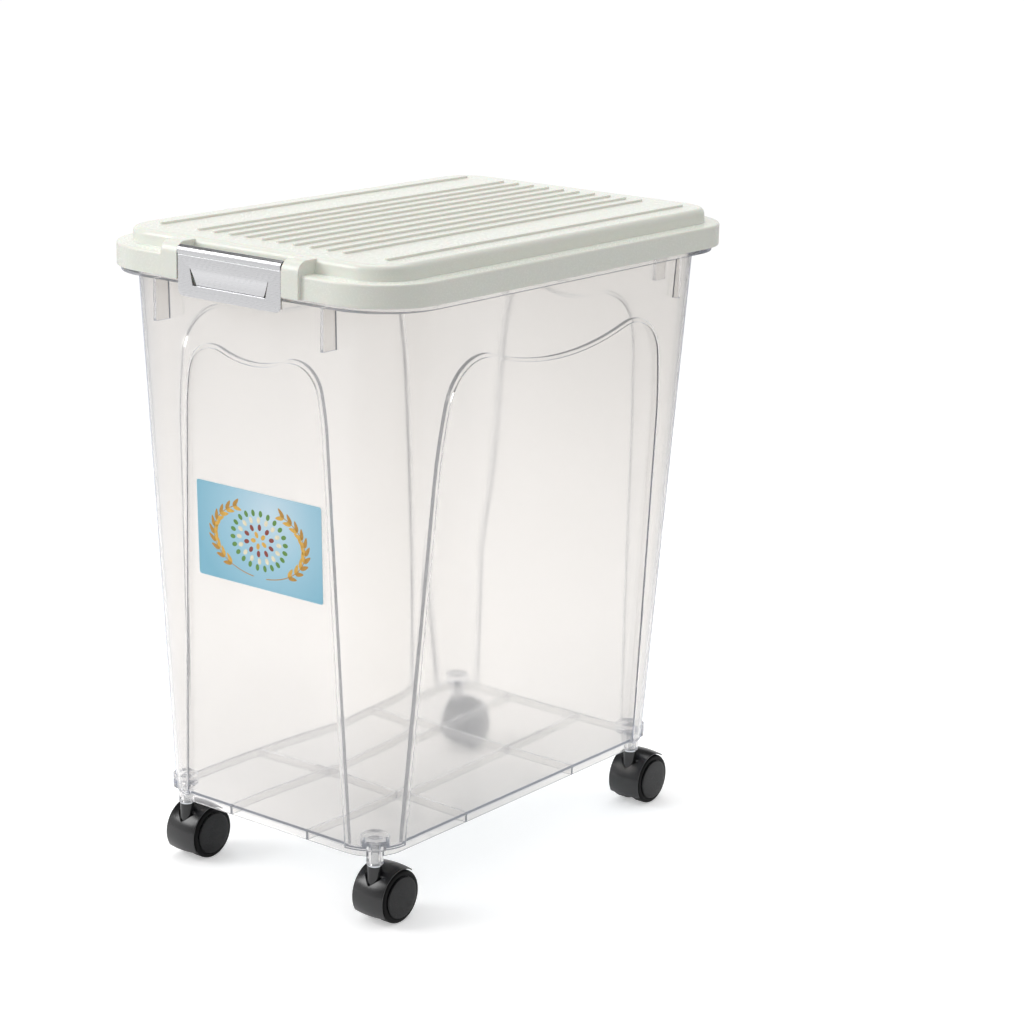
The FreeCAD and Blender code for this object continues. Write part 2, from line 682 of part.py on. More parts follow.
def make_lid():
    """The ivory lid: skirt, ledge, raised step with ribs, latch ears and hinge knuckles."""
    lid = new_body("lid_shell")
    skirt = sketch_on(lid, "skirt", "XY_Plane", skirt_bottom)
    centred_rounded(skirt, lid_x, lid_y, size["lid_corner"])
    block = pad(lid, skirt, size["skirt_height"])
    fillet_level(lid, "skirt_rounding", block, ledge_top, size["skirt_edge"])

    step_foot = sketch_on(lid, "step_foot", "XY_Plane", ledge_top)
    centred_rounded(step_foot, step_x, step_y, size["step_corner"])
    step_head = sketch_on(lid, "step_head", "XY_Plane", step_top)
    head_x = step_x - size["step_draft"]
    head_y = step_y - size["step_draft"]
    centred_rounded(step_head, head_x, head_y, size["step_corner"] - size["step_draft"])
    step = loft(lid, "AdditiveLoft", step_foot, step_head)
    fillet_level(lid, "step_rounding", step, step_top, size["step_edge"])

    # Raised ribs along the top, and a longer-spaced one on each side
    rib_low = -lid_y + size["rib_front_margin"]
    rib_high = lid_y - size["rib_back_margin"]
    rib_half = size["rib_width"] / 2
    row_half = size["rib_pitch"] * (LID_RIB_COUNT - 1) / 2
    border_sketch = sketch_on(lid, "border_rib", "XY_Plane", step_top)
    rounded_slot(border_sketch, row_half + size["border_offset"], rib_half, rib_low, rib_high)
    border_rib = pad(lid, border_sketch, size["rib_height"])
    mirror(lid, "border_rib_left", [border_rib], "YZ_Plane")
    rib_sketch = sketch_on(lid, "rib", "XY_Plane", step_top)
    rounded_slot(rib_sketch, -row_half, rib_half, rib_low, rib_high)
    rib = pad(lid, rib_sketch, size["rib_height"])
    row = lid.newObject("PartDesign::LinearPattern", "rib_row")
    row.Originals = [rib]
    row.Direction = (rib_sketch, ["H_Axis"])
    row.Occurrences = LID_RIB_COUNT
    row.Length = row_half.value * 2
    bind(row, "Length", row_half * 2)
    keep(lid, row)

    # Hollow inside
    inside = sketch_on(lid, "skirt_inside", "XY_Plane", skirt_bottom)
    inner_corner = size["lid_corner"] - size["skirt_wall"]
    centred_rounded(inside, lid_x - size["skirt_wall"], lid_y - size["skirt_wall"], inner_corner)
    pocket(lid, inside, size["skirt_height"] - size["lid_plate"], reverse=True)
    crown = sketch_on(lid, "crown_inside", "XY_Plane", ledge_under)
    crown_x = head_x - size["lid_plate"]
    crown_y = rim_y - size["crown_margin"]
    crown_corner = size["step_corner"] - size["step_draft"] - size["lid_plate"]
    centred_rounded(crown, crown_x, crown_y, crown_corner, size["tub_shift"])
    pocket(lid, crown, size["step_height"], reverse=True)
    groove = sketch_on(lid, "seal_groove", "XY_Plane", ledge_under)
    seal_outline(groove)
    pocket(lid, groove, size["seal_seat"], reverse=True)

    # Bay for the latch: the skirt is cut away and a wall closes the lid behind it
    bay_half = size["latch_bay"] / 2
    bay_back = lid_y - size["bay_depth"]
    bay = sketch_on(lid, "latch_bay_cut", "XY_Plane", skirt_bottom - size["overrun"])
    rectangle(bay, -bay_half, bay_half, -(lid_y + size["overrun"]), -bay_back)
    pocket(lid, bay, size["skirt_height"] + size["overrun"] * 2, reverse=True)
    wall = sketch_on(lid, "bay_back_wall", "XY_Plane", skirt_bottom)
    wall_back = bay_back - size["bay_wall"]
    wall_half_x = bay_half + size["skirt_wall"]
    rectangle(wall, -wall_half_x, wall_half_x, -bay_back, -wall_back)
    pad(lid, wall, size["skirt_height"] - size["lid_plate"] / 2)

    # Ears that carry the latch pin
    ear_top = step_top - size["ear_drop"]
    ear_back = -(head_y - size["step_edge"])
    ear = sketch_on(lid, "ear", "YZ_Plane", bay_half)
    points = [
        (-front_y, skirt_bottom), (-wall_back, skirt_bottom), (-wall_back, ledge_under),
        (ear_back, ledge_under), (ear_back, ear_top), (-(front_y - size["ear_round"]), ear_top),
        (-front_y, ear_top - size["ear_round"]),
    ]
    closed_path(ear, points, {5: (size["ear_round"], True)})
    ear_block = pad(lid, ear, size["ear_width"])
    mirror(lid, "ear_left", [ear_block], "YZ_Plane")
    pin_hole = sketch_on(lid, "pin_hole", "YZ_Plane")
    circle(pin_hole, pivot_y, pivot_z, size["latch_pin_diameter"])
    pocket(lid, pin_hole, size["latch_bay"] + size["latch_pin_reach"] * 2, sides="Symmetric")

    # Hinge knuckles on the back of the skirt, and notches over the tub's knuckles
    knuckle_x = size["hinge_spread"] / 2 - size["lid_knuckle"] / 2
    knuckle = sketch_on(lid, "lid_knuckle_side", "YZ_Plane", knuckle_x)
    radius = size["knuckle_radius"]
    lug_top = skirt_bottom + size["lug_rise"]
    lug_bend = skirt_bottom + size["lug_rise"] / 2
    points = [
        (hinge_y - radius, hinge_z), (hinge_y, hinge_z - radius), (hinge_y + radius, hinge_z),
        (hinge_y + radius, lug_bend), (lid_y, lug_top), (lid_y - size["skirt_wall"], lug_top),
        (hinge_y - radius, lug_bend),
    ]
    closed_path(knuckle, points, {0: (radius, True), 1: (radius, True)})
    circle(knuckle, hinge_y, hinge_z, size["hinge_pin_diameter"] + size["running_gap"] * 2)
    lug = pad(lid, knuckle, size["lid_knuckle"])
    mirror(lid, "lid_knuckle_left", [lug], "YZ_Plane")
    notch = sketch_on(lid, "knuckle_notch", "XY_Plane", skirt_bottom)
    notch_width = size["tub_knuckle"] + size["knuckle_gap"] * 2
    far_x = knuckle_x + size["lid_knuckle"]
    notch_low = lid_y - size["skirt_wall"] - size["overrun"]
    notch_high = lid_y + size["overrun"]
    rectangle(notch, knuckle_x - notch_width, knuckle_x, notch_low, notch_high)
    rectangle(notch, far_x, far_x + notch_width, notch_low, notch_high)
    notch_depth = hinge_z + radius + size["notch_gap"] - skirt_bottom
    cut = pocket(lid, notch, notch_depth, reverse=True)
    mirror(lid, "knuckle_notch_left", [cut], "YZ_Plane")


def rounded_slot(sketch, middle, half, low, high):
    points = [
        (middle - half, low + half), (middle, low), (middle + half, low + half),
        (middle + half, high - half), (middle, high), (middle - half, high - half),
    ]
    closed_path(sketch, points, {number: (half, True) for number in (0, 1, 3, 4)})


def seal_outline(sketch):
    """The ring that follows the tub's rim."""
    outer = size["seal_lap"]
    inner = size["tub_wall"] + size["seal_lap"]
    centred_rounded(sketch, rim_x + outer, rim_y + outer, size["rim_corner"] + outer, size["tub_shift"])
    centred_rounded(sketch, rim_x - inner, rim_y - inner, size["rim_corner"] - inner, size["tub_shift"])


def make_seal():
    seal = new_body("lid_seal")
    bottom = rim_top + size["seal_gap"]
    ring = sketch_on(seal, "seal_ring", "XY_Plane", bottom)
    seal_outline(ring)
    pad(seal, ring, ledge_under + size["seal_seat"] - bottom)


def make_latch():
    """The latch: a pressed steel face curled over a pin, a moulded core with the hook, and the pin."""
    half = size["latch_bay"] / 2 - size["latch_side_gap"]
    sheet_back = front_y - size["sheet_thick"]
    plate_foot = pivot_z - size["plate_drop"]
    curl_inner = size["curl_radius"] - size["sheet_thick"]

    face = new_body("latch_plate")
    flat = sketch_on(face, "plate_flat", "XZ_Plane", sheet_back)
    corner = size["plate_corner"]
    points = [
        (-half + corner, plate_foot), (half - corner, plate_foot), (half, plate_foot + corner),
        (half, pivot_z), (-half, pivot_z), (-half, plate_foot + corner),
    ]
    closed_path(flat, points, {1: (corner, True), 5: (corner, True)})
    pad(face, flat, size["sheet_thick"])
    curl = sketch_on(face, "plate_curl", "YZ_Plane")
    points = [
        (pivot_y + curl_inner, pivot_z), (pivot_y + size["curl_radius"], pivot_z),
        (pivot_y, pivot_z + size["curl_radius"]), (pivot_y - size["curl_radius"], pivot_z),
        (pivot_y - curl_inner, pivot_z), (pivot_y, pivot_z + curl_inner),
    ]
    arcs = {
        1: (size["curl_radius"], True), 2: (size["curl_radius"], True),
        4: (curl_inner, False), 5: (curl_inner, False),
    }
    closed_path(curl, points, arcs)
    pad(face, curl, half * 2, sides="Symmetric")
    # Pressed finger pull: a tongue that leans in from its top edge
    pull_foot = plate_foot + size["pull_foot_rise"]
    pull_top = pull_foot + size["pull_height"]
    lean = slope_angle(size["pull_depth"], size["pull_height"])
    tongue = root(size["pull_depth"] * size["pull_depth"] + size["pull_height"] * size["pull_height"])
    spread = size["sheet_thick"]
    sheet_middle = front_y - size["sheet_thick"] / 2
    tongue_back = front_y - size["pull_depth"] - size["sheet_thick"]
    wedge = sketch_on(face, "pull_back", "YZ_Plane")
    points = [
        (-sheet_middle, pull_foot - spread), (-tongue_back, pull_foot - spread),
        (-tongue_back, pull_foot), (-sheet_middle, pull_top + spread),
    ]
    closed_path(wedge, points, {})
    pad(face, wedge, size["pull_top_width"] + spread * 2, sides="Symmetric")
    pull = sketch_on(face, "pull_front", "XZ_Plane", front_y, up=pull_top, tilt=lean)
    top = size["pull_top_width"] / 2
    low = size["pull_foot_width"] / 2
    closed_path(pull, [(-low, -tongue), (low, -tongue), (top, NOUGHT), (-top, NOUGHT)], {})
    pocket(face, pull, size["pull_depth"] + size["overrun"], reverse=True)

    core = new_body("latch_core")
    core_half = half - size["core_inset"]
    core_back = sheet_back - size["core_thick"]
    hook_top = flange_bottom - size["hook_gap"]
    body = sketch_on(core, "core_side", "YZ_Plane")
    core_foot = hook_top - size["hook_thick"]
    points = [
        (-sheet_back, core_foot), (-core_back, core_foot), (-core_back, pivot_z),
        (pivot_y + curl_inner, pivot_z), (pivot_y, pivot_z + curl_inner), (-sheet_back, pivot_z),
    ]
    closed_path(body, points, {3: (curl_inner, True), 4: (curl_inner, True)})
    pad(core, body, core_half * 2, sides="Symmetric")
    hook = sketch_on(core, "hook_side", "YZ_Plane")
    hook_tip = flange_front - size["hook_reach"]
    rectangle(hook, -sheet_back, -hook_tip, core_foot, hook_top)
    pad(core, hook, size["hook_width"], sides="Symmetric")
    window = sketch_on(core, "core_window", "XZ_Plane", sheet_back + size["overrun"])
    window_half = size["pull_top_width"] / 2 + spread + size["pull_window_margin"]
    window_low = pull_foot - spread - size["pull_window_margin"]
    window_high = pull_top + spread + size["pull_window_margin"]
    rectangle(window, -window_half, window_half, window_low, window_high)
    window_depth = size["pull_depth"] + size["sheet_thick"] + size["overrun"]
    pocket(core, window, window_depth)
    pin_hole = sketch_on(core, "core_pin_hole", "YZ_Plane")
    circle(pin_hole, pivot_y, pivot_z, size["latch_pin_diameter"] + size["running_gap"] * 2)
    pocket(core, pin_hole, size["latch_bay"], sides="Symmetric")

    pin = new_body("latch_pin")
    outline = sketch_on(pin, "latch_pin_outline", "YZ_Plane")
    circle(outline, pivot_y, pivot_z, size["latch_pin_diameter"])
    pad(pin, outline, size["latch_bay"] + size["latch_pin_reach"] * 2, sides="Symmetric")


def make_hood(tag, x, y):
    """The caster's hood: a barrel shell over both wheels, a web between them and the stem's boss."""
    hood = new_body("caster_hood_" + tag)
    place(hood, x, y)
    half = size["hood_width"] / 2
    shell = sketch_on(hood, "hood_shell_" + tag, "XZ_Plane", -size["caster_trail"], up=axle_z)
    side_radius = hood_radius - size["hood_crown"]
    crown_radius = (half * half + size["hood_crown"] * size["hood_crown"]) / (size["hood_crown"] * 2)
    points = [
        (-half, NOUGHT), (half, NOUGHT), (half, side_radius), (NOUGHT, hood_radius), (-half, side_radius),
    ]
    closed_path(shell, points, {2: (crown_radius, True), 3: (crown_radius, True)})
    revolve(hood, shell, "H_Axis", HOOD_FRONT_ANGLE, HOOD_BACK_ANGLE)
    # A notch in the front of the shell, where the stem's boss stands
    notch = sketch_on(hood, "hood_notch_" + tag, "XZ_Plane")
    shoulder_z = axle_z + root(hood_radius * hood_radius - size["caster_trail"] * size["caster_trail"])
    apex_z = shoulder_z - size["hood_notch_depth"]
    notch_lean = slope_angle(size["hood_notch_width"] / 2, size["hood_notch_depth"])
    round_x = size["hood_notch_round"] * cosine(notch_lean)
    round_z = apex_z + round_x * size["hood_notch_depth"] / (size["hood_notch_width"] / 2)
    brow_z = hood_top + size["overrun"]
    brow_x = size["hood_notch_width"] / 2 * (brow_z - apex_z) / size["hood_notch_depth"]
    points = [(-round_x, round_z), (round_x, round_z), (brow_x, brow_z), (-brow_x, brow_z)]
    closed_path(notch, points, {0: (size["hood_notch_round"], True)})
    pocket(hood, notch, hood_radius, reverse=True)
    boss = sketch_on(hood, "hood_boss_" + tag, "XY_Plane", axle_z)
    circle(boss, NOUGHT, NOUGHT, size["hood_boss_diameter"])
    pad(hood, boss, hood_top - axle_z)
    hub = sketch_on(hood, "hood_hub_" + tag, "YZ_Plane")
    circle(hub, size["caster_trail"], axle_z, size["hub_diameter"])
    pad(hood, hub, size["hood_web"], sides="Symmetric")
    well = sketch_on(hood, "wheel_well_" + tag, "YZ_Plane", size["hood_web"] / 2)
    circle(well, size["caster_trail"], axle_z, well_radius * 2)
    cut = pocket(hood, well, size["hood_width"], reverse=True)
    mirror(hood, "wheel_well_left_" + tag, [cut], "YZ_Plane")
    axle_hole = sketch_on(hood, "axle_hole_" + tag, "YZ_Plane")
    circle(axle_hole, size["caster_trail"], axle_z, size["axle_diameter"])
    pocket(hood, axle_hole, size["hood_width"], sides="Symmetric")
    stem_hole = sketch_on(hood, "stem_hole_" + tag, "XY_Plane", hood_top)
    circle(stem_hole, NOUGHT, NOUGHT, size["stem_diameter"])
    pocket(hood, stem_hole, size["stem_seat"])


def make_stem(tag, x, y):
    """The steel stem: seat in the hood, collar, shank in the tub's socket and a grip-ring groove."""
    stem = new_body("caster_stem_" + tag)
    place(stem, x, y)
    radius = size["stem_diameter"] / 2
    collar = size["collar_diameter"] / 2
    collar_top = hood_top + size["collar_thick"]
    top = collar_top + size["stem_reach"]
    ring_top = top - size["stem_ring_drop"]
    ring_low = ring_top - size["stem_ring_width"]
    ring_radius = radius - size["stem_ring_depth"]
    side = sketch_on(stem, "stem_side_" + tag, "XZ_Plane")
    points = [
        (NOUGHT, hood_top - size["stem_seat"]), (radius, hood_top - size["stem_seat"]),
        (radius, hood_top), (collar, hood_top), (collar, collar_top), (radius, collar_top),
        (radius, ring_low), (ring_radius, ring_low), (ring_radius, ring_top), (radius, ring_top),
        (radius, top - size["stem_chamfer"]), (radius - size["stem_chamfer"], top), (NOUGHT, top),
    ]
    closed_path(side, points, {})
    revolve(stem, side, "V_Axis")


def make_wheels(tag, x, y):
    """Two wheels on one axle. Each has a rounded tread, a sunk ring and a raised disc on its face."""
    inner = size["hood_web"] / 2 + size["wheel_web_gap"]
    bore_end = size["wheel_face"] - size["wheel_cap"]
    bore = size["axle_diameter"] / 2 + size["running_gap"]
    tread = size["wheel_diameter"] / 2
    edge = size["wheel_edge"]
    ring = size["wheel_face"] - size["wheel_ring_sink"]
    disc = size["wheel_disc_diameter"] / 2
    for hand, side in (("left", -1), ("right", 1)):
        wheel = new_body("wheel_" + hand + "_" + tag)
        place(wheel, x, y)
        name = "wheel_side_" + hand + "_" + tag
        outline = sketch_on(wheel, name, "XZ_Plane", -size["caster_trail"], up=axle_z)
        points = [
            (inner, bore), (inner, tread - edge), (inner + edge, tread), (ring - edge, tread),
            (ring, tread - edge), (ring, disc), (size["wheel_face"] - size["wheel_disc_edge"], disc),
            (size["wheel_face"], disc - size["wheel_disc_edge"]), (size["wheel_face"], NOUGHT),
            (bore_end, NOUGHT), (bore_end, bore),
        ]
        turned = [(across * side, up) for across, up in points]
        left_turn = side < 0
        closed_path(outline, turned, {1: (edge, left_turn), 3: (edge, left_turn)})
        revolve(wheel, outline, "H_Axis")
    axle = new_body("caster_axle_" + tag)
    place(axle, x, y)
    rod = sketch_on(axle, "axle_side_" + tag, "YZ_Plane")
    circle(rod, size["caster_trail"], axle_z, size["axle_diameter"])
    pad(axle, rod, (bore_end - size["axle_end_gap"]) * 2, sides="Symmetric")


make_tub()
make_label()
make_hinge_pins()
make_lid()
make_seal()
make_latch()
for tag, side_x, side_y in (("fl", -1, -1), ("fr", 1, -1), ("bl", -1, 1), ("br", 1, 1)):
    spot_x = caster_x * side_x
    spot_y = caster_y * side_y + size["tub_shift"]
    make_hood(tag, spot_x, spot_y)
    make_stem(tag, spot_x, spot_y)
    make_wheels(tag, spot_x, spot_y)

doc.recompute()

# Nothing is written unless every object is sound and every cut or added shape took effect.
ADDS = ("PartDesign::Pad", "PartDesign::AdditiveLoft", "PartDesign::Revolution")
CUTS = ("PartDesign::Pocket", "PartDesign::SubtractiveLoft", "PartDesign::Groove")
for thing in doc.Objects:
    if "Invalid" in thing.State or "Error" in thing.State:
        raise RuntimeError(thing.Label + " failed: " + thing.getStatusString())
    base = getattr(thing, "BaseFeature", None)
    if base is None or thing.TypeId == "PartDesign::Body":
        continue
    change = thing.Shape.Volume - base.Shape.Volume
    if (thing.TypeId in ADDS and change <= 0) or (thing.TypeId in CUTS and change >= 0):
        raise RuntimeError(thing.Label + " changed nothing")

bodies = [thing for thing in doc.Objects if thing.TypeId == "PartDesign::Body"]
for body in bodies:
    if body.Shape.isNull() or not body.Shape.isValid() or len(body.Shape.Solids) != 1:
        raise RuntimeError(body.Label + " is not one sound solid")

os.makedirs("parts", exist_ok=True)
for body in bodies:
    body.Shape.exportStep(os.path.join("parts", body.Label + ".step"))
print(len(bodies), "pieces written")
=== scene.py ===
# %% [markdown]
# A grain bin on casters, dressed for its portrait. The construction comes in as a fixed frame of named
# nodes. This lesson adds the photograph's camera, a plain studio, a finish for every surface, and finer
# pieces where the frame's solids are too plain to be seen up close. Every length is in metres, and sizes
# are written in millimetres times MM.

# %% Load the frame
import json
import math
import bmesh
import bpy
from mathutils import Matrix, Vector

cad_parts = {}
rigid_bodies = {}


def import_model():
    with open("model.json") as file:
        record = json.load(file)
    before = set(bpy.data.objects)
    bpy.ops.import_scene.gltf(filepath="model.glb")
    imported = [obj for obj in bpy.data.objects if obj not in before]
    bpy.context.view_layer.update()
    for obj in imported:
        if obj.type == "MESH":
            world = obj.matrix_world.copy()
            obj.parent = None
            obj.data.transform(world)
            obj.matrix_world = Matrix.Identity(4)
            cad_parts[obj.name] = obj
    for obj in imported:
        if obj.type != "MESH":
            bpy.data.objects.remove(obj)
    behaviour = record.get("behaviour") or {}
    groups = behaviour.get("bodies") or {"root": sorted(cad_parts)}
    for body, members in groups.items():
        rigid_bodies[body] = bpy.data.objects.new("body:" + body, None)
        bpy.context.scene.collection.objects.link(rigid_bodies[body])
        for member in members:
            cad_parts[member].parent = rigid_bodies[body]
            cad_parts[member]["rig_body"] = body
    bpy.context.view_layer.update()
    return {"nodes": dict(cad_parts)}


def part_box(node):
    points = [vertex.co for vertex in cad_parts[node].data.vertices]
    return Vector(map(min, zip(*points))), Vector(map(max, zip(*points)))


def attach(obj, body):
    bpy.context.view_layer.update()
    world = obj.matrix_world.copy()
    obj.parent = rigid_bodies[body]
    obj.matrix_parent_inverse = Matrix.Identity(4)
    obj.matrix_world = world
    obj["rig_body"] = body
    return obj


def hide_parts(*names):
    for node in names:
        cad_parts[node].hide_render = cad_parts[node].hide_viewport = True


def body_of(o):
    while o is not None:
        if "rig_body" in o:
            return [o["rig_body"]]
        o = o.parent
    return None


MM = 0.001
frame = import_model()

# %% [markdown]
# The photograph was taken from the front right and a little above, with a long lens. A camera could be
# placed by eye, but then little would lie where the photograph shows it, so this one was worked out from
# the lid's edges, the label and the wheels. A camera in Blender looks along its own -Z, so its matrix is
# built from the direction back to the camera, with a small roll about the line of sight.

# %% Camera at the photograph's viewing angle
PHOTO_SIDE = 1024
SENSOR_WIDTH = 36
CAMERA_PLACE = Vector((1.29569, -1.58143, 0.82388))
AZIMUTH = math.radians(37.45)
ELEVATION = math.radians(16.08)
ROLL = math.radians(1.43)
FOCAL_PIXELS = 2647.85
CENTRE_PIXEL = (507.3, 556.4)

back = Vector((
    math.sin(AZIMUTH) * math.cos(ELEVATION),
    -math.cos(AZIMUTH) * math.cos(ELEVATION),
    math.sin(ELEVATION),
))
level = Vector((math.cos(AZIMUTH), math.sin(AZIMUTH), 0))
upright = back.cross(level)
across = level * math.cos(ROLL) + upright * math.sin(ROLL)
up = upright * math.cos(ROLL) - level * math.sin(ROLL)

lens = bpy.data.cameras.new("photo_camera")
lens.sensor_width = SENSOR_WIDTH
lens.lens = SENSOR_WIDTH * FOCAL_PIXELS / PHOTO_SIDE
lens.shift_x = (PHOTO_SIDE / 2 - CENTRE_PIXEL[0]) / PHOTO_SIDE
lens.shift_y = (CENTRE_PIXEL[1] - PHOTO_SIDE / 2) / PHOTO_SIDE
camera = bpy.data.objects.new("photo_camera", lens)
turn = Matrix((across, up, back)).transposed().to_4x4()
camera.matrix_world = Matrix.Translation(CAMERA_PLACE) @ turn
bpy.context.collection.objects.link(camera)
bpy.context.scene.camera = camera
print("camera: lens", round(lens.lens, 1), "mm")

# %% [markdown]
# A finish is a tree of nodes round one Principled shader. It could be put together by hand in the shader
# editor; as code it can be read and repeated, and a few small helpers keep it short. One turns the sRGB
# colours that people write into the linear values that the renderer adds up, one adds a node with its
# settings and links, two give the results of the commonest nodes, and one starts a finish.

# %% Helpers for finishes
def linear(code):
    """An sRGB hex colour as linear red, green and blue, with an alpha of one."""
    values = [int(code[start:start + 2], 16) / 255 for start in (1, 3, 5)]
    return [v / 12.92 if v <= 0.04045 else ((v + 0.055) / 1.055) ** 2.4 for v in values] + [1]


def add_node(tree, kind, inputs=None, **settings):
    """Add a node. Inputs are fixed values, or the sockets of other nodes to link."""
    node = tree.nodes.new(kind)
    for name, value in settings.items():
        setattr(node, name, value)
    for name, value in (inputs or {}).items():
        if isinstance(value, bpy.types.NodeSocket):
            tree.links.new(value, node.inputs[name])
        else:
            node.inputs[name].default_value = value
    return node


def maths(tree, operation, *values):
    """The result of a Math node."""
    return add_node(tree, "ShaderNodeMath", dict(enumerate(values)), operation=operation).outputs[0]


def ranged(tree, value, low, high, start=0.0, end=1.0):
    """A value from start to end, mapped to run from low to high."""
    limits = {"From Min": start, "From Max": end, "To Min": low, "To Max": high}
    return add_node(tree, "ShaderNodeMapRange", {"Value": value, **limits}).outputs[0]


def new_finish(name, **inputs):
    """A material with one Principled shader, whose fixed inputs are given by their names."""
    finish = bpy.data.materials.new(name)
    finish.use_nodes = True
    shader = finish.node_tree.nodes["Principled BSDF"]
    for key, value in inputs.items():
        shader.inputs[key.replace("_", " ")].default_value = value
    return finish, finish.node_tree, shader


print("helpers: white is", linear("#FFFFFF"))

# %% [markdown]
# The room round the bin is what its clear plastic and its steel show. It is white here, with a darker
# ceiling and dimmer sides, which draw the tub's edges. Panels could be built for all that, but a world that
# changes with direction does the same and casts no shadows. It is dimmer as a lamp than as a backdrop: what
# the camera, the steel and the plastic see is white, while the light that falls on the object stays plain.

# %% White world
WORLD_LIGHT = 0.62
CEILING_SEEN = 0.12
CEILING_START, CEILING_FULL = 0.2, 0.45
SIDES_SEEN = 0.55


def seen_rays(tree):
    """One where a ray comes from the camera, a reflection or clear plastic, and nought elsewhere."""
    path = add_node(tree, "ShaderNodeLightPath").outputs
    total = maths(tree, "MAXIMUM", path["Is Camera Ray"], path["Is Glossy Ray"])
    return maths(tree, "MAXIMUM", total, path["Is Transmission Ray"])


def dim_sides(tree, vector):
    """Bright ahead and across and dim between, for what plastic and steel see; the camera sees white."""
    parts = add_node(tree, "ShaderNodeSeparateXYZ", {"Vector": vector}).outputs
    bearing = maths(tree, "ARCTAN2", parts["Y"], parts["X"])
    wave = maths(tree, "SINE", maths(tree, "MULTIPLY_ADD", bearing, 2.0, -2 * (AZIMUTH + math.pi / 2)))
    sides = ranged(tree, maths(tree, "MULTIPLY", wave, wave), 1.0, SIDES_SEEN)
    path = add_node(tree, "ShaderNodeLightPath").outputs
    return maths(tree, "MAXIMUM", sides, path["Is Camera Ray"])


world = bpy.data.worlds.new("white_studio")
bpy.context.scene.world = world
world.use_nodes = True
tree = world.node_tree
sky = tree.nodes["Background"]
sky.inputs["Color"].default_value = linear("#FFFFFF")
direction = add_node(tree, "ShaderNodeTexCoord").outputs["Generated"]
height = add_node(tree, "ShaderNodeSeparateXYZ", {"Vector": direction}).outputs["Z"]
ceiling = ranged(tree, height, 1.0, CEILING_SEEN, CEILING_START, CEILING_FULL)
shown = maths(tree, "MULTIPLY", ceiling, dim_sides(tree, direction))
tree.links.new(ranged(tree, seen_rays(tree), WORLD_LIGHT, shown), sky.inputs["Strength"])
print("world:", world.name, "with", len(tree.nodes), "nodes")

# %% [markdown]
# The floor is pale paint on a real surface, which takes the object's shadow. A white picture could be put
# behind the object instead, but a real floor is also there in the clear plastic and from every other side.
# It is lifted towards white for the same rays as the world, and further out it turns to pure glow, so that
# no horizon shows.

# %% Floor
FLOOR_HALF = 12.0
FLOOR_TONE = linear("#F6F6F6")
FLOOR_LIFT = 0.38
FADE_START, FADE_END = 0.6, 2.6

floor_mesh = bpy.data.meshes.new("studio_floor")
corners = [(x * FLOOR_HALF, y * FLOOR_HALF, 0) for x, y in ((-1, -1), (1, -1), (1, 1), (-1, 1))]
floor_mesh.from_pydata(corners, [], [(0, 1, 2, 3)])
floor = bpy.data.objects.new("studio_floor", floor_mesh)
bpy.context.collection.objects.link(floor)
paint, tree, shader = new_finish(
    "pale_floor_paint", Base_Color=FLOOR_TONE, Roughness=0.9, Emission_Color=linear("#FFFFFF"),
)
floor_mesh.materials.append(paint)
place = add_node(tree, "ShaderNodeTexCoord").outputs["Object"]
reach = add_node(tree, "ShaderNodeVectorMath", {0: place}, operation="LENGTH").outputs["Value"]
far = ranged(tree, reach, 0.0, 1.0, FADE_START, FADE_END)
tones = {"Factor": far, "A": FLOOR_TONE, "B": linear("#000000")}
tone = add_node(tree, "ShaderNodeMix", tones, data_type="RGBA")
tree.links.new(tone.outputs["Result"], shader.inputs["Base Color"])
glow = maths(tree, "MULTIPLY", ranged(tree, far, FLOOR_LIFT, 1.0), dim_sides(tree, place))
lift = maths(tree, "MULTIPLY", seen_rays(tree), glow)
tree.links.new(lift, shader.inputs["Emission Strength"])
print("floor:", 2 * FLOOR_HALF, "m wide")

# %% [markdown]
# Two softboxes, one on the left and one overhead, make the front and the top bright and let the right side
# fall off, as in the photograph. Spot lamps could do that too, but with hard shadows. A wide area lamp
# gives the soft one under the bin.

# %% Lamps
LAMP_AIM = Vector((0, 0, 0.3))
LAMPS = (
    # name, place, watts, width
    ("key_softbox", (-2.0, -2.2, 2.0), 48.0, 1.6),
    ("top_softbox", (-0.5, 0.4, 2.8), 24.0, 2.0),
)
for name, place, watts, width in LAMPS:
    lamp = bpy.data.lights.new(name, "AREA")
    lamp.energy = watts
    lamp.size = width
    softbox = bpy.data.objects.new(name, lamp)
    softbox.location = place
    aim = LAMP_AIM - Vector(place)
    softbox.rotation_euler = aim.to_track_quat("-Z", "Y").to_euler()
    bpy.context.collection.objects.link(softbox)
bpy.context.scene.view_settings.view_transform = "Standard"
print("lamps:", len(LAMPS), "softboxes")

# %% [markdown]
# The tub is clear polypropylene from a polished tool: glossy and a little milky. Plain glass would be too
# clean. The milk could be a cloudy volume, but that is slow to render, so it is a bluish haze that grows
# where the wall is seen edge-on, because the eye looks through more of it there, with a little light
# swallowed on the way. The polish is uneven from patch to patch. Lamps pass the wall as they pass the real
# one, by letting shadow rays through.

# %% Clear polypropylene
POLISH_SPACING, POLISH = 30, (0.03, 0.08)
HAZE, HAZE_START = (0.05, 0.75), 0.75
ABSORPTION = 7.0


def noise(tree, spacing_mm, detail=2.0):
    """An even noise over the object, with hills about as far apart as spacing."""
    place = add_node(tree, "ShaderNodeTexCoord").outputs["Object"]
    inputs = {"Vector": place, "Scale": 1 / (spacing_mm * MM), "Detail": detail}
    return add_node(tree, "ShaderNodeTexNoise", inputs).outputs["Fac"]


